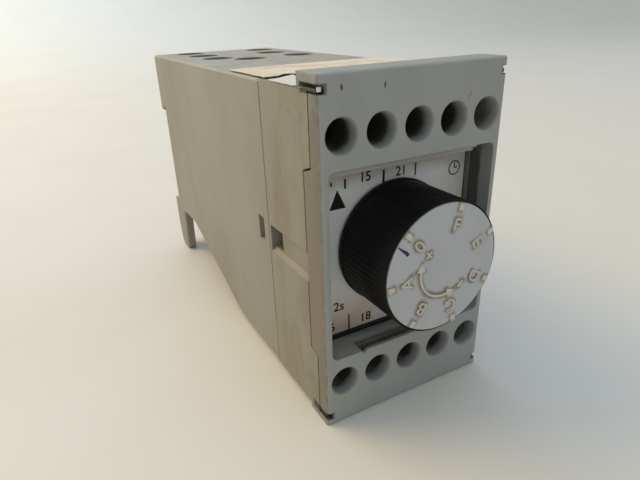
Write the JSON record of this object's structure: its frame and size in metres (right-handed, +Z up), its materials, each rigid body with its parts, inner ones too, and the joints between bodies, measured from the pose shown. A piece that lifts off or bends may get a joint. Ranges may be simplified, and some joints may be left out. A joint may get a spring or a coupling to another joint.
{
  "type": "rail-mounted time relay",
  "caption": "Box-shaped time relay for a 35 mm mounting rail, with two rows of screw terminals, a deep window in the front cover and a large fluted setting knob.",
  "frame": {"origin": "centre of the floor under the timer's bounding box, on the plane that the cover's bottom lip and the casing's two rear legs stand on", "axes": "+X to the right seen from the front, +Y from the front cover towards the mounting rail, +Z up; the front faces -Y"},
  "size_m": [0.045, 0.1328, 0.077],
  "materials": {
    "casing_plastic": "lightly textured, aged warm grey",
    "cover_plastic": "fine satin light grey",
    "latch_plastic": "smooth aged warm grey",
    "plate_print": "printed satin off-white",
    "knob_plastic": "fluted satin black",
    "cap_plastic": "satin pale grey with raised marks",
    "label_paper": "aged paper",
    "zinc_steel": "zinc plated",
    "tinned_brass": "dull tinned brass",
    "board_laminate": "green solder mask",
    "copper_wire": "varnished copper winding",
    "core_iron": "laminated dark iron",
    "dark_plastic": "moulded black",
    "relay_plastic": "glossy blue case",
    "capacitor_sleeve": "shrink sleeve",
    "film_plastic": "dipped resin",
    "chip_plastic": "moulded epoxy"
  },
  "bodies": {
    "housing": {"rear_casing": "casing_plastic", "terminal_block": "casing_plastic", "front_cover": "cover_plastic", "scale_plate": "plate_print", "front_board": "board_laminate", "terminal_board": "board_laminate", "main_board": "board_laminate", "pot_body": "dark_plastic", "pot_bush": "tinned_brass", "pot_nut": "zinc_steel", "pot_washer": "zinc_steel", "relay_base": "dark_plastic", "relay_cover": "relay_plastic", "relay_coil": "copper_wire", "transformer_core": "core_iron", "transformer_winding": "copper_wire", "smoothing_capacitor_1": "capacitor_sleeve", "smoothing_capacitor_2": "capacitor_sleeve", "film_capacitor": "film_plastic", "timer_chip": "chip_plastic", "rectifier": "chip_plastic", "resistor_1": "film_plastic", "resistor_2": "film_plastic", "paper_label": "label_paper", "latch_spring": "zinc_steel", "contact_bar_1": "tinned_brass", "contact_bar_2": "tinned_brass", "contact_bar_3": "tinned_brass", "contact_bar_4": "tinned_brass", "contact_bar_5": "tinned_brass", "contact_bar_6": "tinned_brass", "contact_bar_7": "tinned_brass", "contact_bar_8": "tinned_brass", "contact_bar_9": "tinned_brass", "contact_bar_10": "tinned_brass"},
    "knob": {"knob": "knob_plastic", "knob_cap": "cap_plastic", "pot_shaft": "zinc_steel"},
    "latch": {"rail_latch": "latch_plastic"},
    "armature": {"relay_armature": "core_iron"},
    "clamp_1": {"clamp_plate_1": "zinc_steel"},
    "screw_1": {"terminal_screw_1": "zinc_steel"},
    "clamp_2": {"clamp_plate_2": "zinc_steel"},
    "screw_2": {"terminal_screw_2": "zinc_steel"},
    "clamp_3": {"clamp_plate_3": "zinc_steel"},
    "screw_3": {"terminal_screw_3": "zinc_steel"},
    "clamp_4": {"clamp_plate_4": "zinc_steel"},
    "screw_4": {"terminal_screw_4": "zinc_steel"},
    "clamp_5": {"clamp_plate_5": "zinc_steel"},
    "screw_5": {"terminal_screw_5": "zinc_steel"},
    "clamp_6": {"clamp_plate_6": "zinc_steel"},
    "screw_6": {"terminal_screw_6": "zinc_steel"},
    "clamp_7": {"clamp_plate_7": "zinc_steel"},
    "screw_7": {"terminal_screw_7": "zinc_steel"},
    "clamp_8": {"clamp_plate_8": "zinc_steel"},
    "screw_8": {"terminal_screw_8": "zinc_steel"},
    "clamp_9": {"clamp_plate_9": "zinc_steel"},
    "screw_9": {"terminal_screw_9": "zinc_steel"},
    "clamp_10": {"clamp_plate_10": "zinc_steel"},
    "screw_10": {"terminal_screw_10": "zinc_steel"}
  },
  "joints": [
    {"name": "knob_turn", "type": "hinge", "parent": "housing", "child": "knob", "pos_m": [0, -0.05663, 0.0385], "axis": [0, 1, 0], "range_deg": [0, 300]},
    {"name": "latch_slide", "type": "slide", "parent": "housing", "child": "latch", "axis": [0, 0, -1], "range_m": [0, 0.0045], "stiffness_N_per_m": 1500, "springref_m": -0.002, "deforming": ["latch_spring"]},
    {"name": "armature_tip", "type": "hinge", "parent": "housing", "child": "armature", "pos_m": [0.0003, 0.00038, 0.041], "axis": [0, 0, 1], "range_deg": [0, 4], "stiffness_Nm_per_rad": 0.002, "springref_deg": 5.73},
    {"name": "clamp_lift_1", "type": "slide", "parent": "housing", "child": "clamp_1", "axis": [0, -1, 0], "range_m": [0, 0.003]},
    {"name": "screw_turn_1", "type": "hinge", "parent": "clamp_1", "child": "screw_1", "pos_m": [-0.0177, -0.04662, 0.0659], "axis": [0, -1, 0], "range_deg": [0, 1800]},
    {"name": "clamp_lift_2", "type": "slide", "parent": "housing", "child": "clamp_2", "axis": [0, -1, 0], "range_m": [0, 0.003]},
    {"name": "screw_turn_2", "type": "hinge", "parent": "clamp_2", "child": "screw_2", "pos_m": [-0.00885, -0.04662, 0.0659], "axis": [0, -1, 0], "range_deg": [0, 1800]},
    {"name": "clamp_lift_3", "type": "slide", "parent": "housing", "child": "clamp_3", "axis": [0, -1, 0], "range_m": [0, 0.003]},
    {"name": "screw_turn_3", "type": "hinge", "parent": "clamp_3", "child": "screw_3", "pos_m": [0, -0.04662, 0.0659], "axis": [0, -1, 0], "range_deg": [0, 1800]},
    {"name": "clamp_lift_4", "type": "slide", "parent": "housing", "child": "clamp_4", "axis": [0, -1, 0], "range_m": [0, 0.003]},
    {"name": "screw_turn_4", "type": "hinge", "parent": "clamp_4", "child": "screw_4", "pos_m": [0.00885, -0.04662, 0.0659], "axis": [0, -1, 0], "range_deg": [0, 1800]},
    {"name": "clamp_lift_5", "type": "slide", "parent": "housing", "child": "clamp_5", "axis": [0, -1, 0], "range_m": [0, 0.003]},
    {"name": "screw_turn_5", "type": "hinge", "parent": "clamp_5", "child": "screw_5", "pos_m": [0.0177, -0.04662, 0.0659], "axis": [0, -1, 0], "range_deg": [0, 1800]},
    {"name": "clamp_lift_6", "type": "slide", "parent": "housing", "child": "clamp_6", "axis": [0, -1, 0], "range_m": [0, 0.003]},
    {"name": "screw_turn_6", "type": "hinge", "parent": "clamp_6", "child": "screw_6", "pos_m": [-0.0177, -0.04662, 0.0111], "axis": [0, -1, 0], "range_deg": [0, 1800]},
    {"name": "clamp_lift_7", "type": "slide", "parent": "housing", "child": "clamp_7", "axis": [0, -1, 0], "range_m": [0, 0.003]},
    {"name": "screw_turn_7", "type": "hinge", "parent": "clamp_7", "child": "screw_7", "pos_m": [-0.00885, -0.04662, 0.0111], "axis": [0, -1, 0], "range_deg": [0, 1800]},
    {"name": "clamp_lift_8", "type": "slide", "parent": "housing", "child": "clamp_8", "axis": [0, -1, 0], "range_m": [0, 0.003]},
    {"name": "screw_turn_8", "type": "hinge", "parent": "clamp_8", "child": "screw_8", "pos_m": [0, -0.04662, 0.0111], "axis": [0, -1, 0], "range_deg": [0, 1800]},
    {"name": "clamp_lift_9", "type": "slide", "parent": "housing", "child": "clamp_9", "axis": [0, -1, 0], "range_m": [0, 0.003]},
    {"name": "screw_turn_9", "type": "hinge", "parent": "clamp_9", "child": "screw_9", "pos_m": [0.00885, -0.04662, 0.0111], "axis": [0, -1, 0], "range_deg": [0, 1800]},
    {"name": "clamp_lift_10", "type": "slide", "parent": "housing", "child": "clamp_10", "axis": [0, -1, 0], "range_m": [0, 0.003]},
    {"name": "screw_turn_10", "type": "hinge", "parent": "clamp_10", "child": "screw_10", "pos_m": [0.0177, -0.04662, 0.0111], "axis": [0, -1, 0], "range_deg": [0, 1800]}
  ],
  "couplings": [
    {"joint": "screw_turn_1", "follows": "clamp_lift_1", "rad_per_m": 10472},
    {"joint": "screw_turn_2", "follows": "clamp_lift_2", "rad_per_m": 10472},
    {"joint": "screw_turn_3", "follows": "clamp_lift_3", "rad_per_m": 10472},
    {"joint": "screw_turn_4", "follows": "clamp_lift_4", "rad_per_m": 10472},
    {"joint": "screw_turn_5", "follows": "clamp_lift_5", "rad_per_m": 10472},
    {"joint": "screw_turn_6", "follows": "clamp_lift_6", "rad_per_m": 10472},
    {"joint": "screw_turn_7", "follows": "clamp_lift_7", "rad_per_m": 10472},
    {"joint": "screw_turn_8", "follows": "clamp_lift_8", "rad_per_m": 10472},
    {"joint": "screw_turn_9", "follows": "clamp_lift_9", "rad_per_m": 10472},
    {"joint": "screw_turn_10", "follows": "clamp_lift_10", "rad_per_m": 10472}
  ]
}
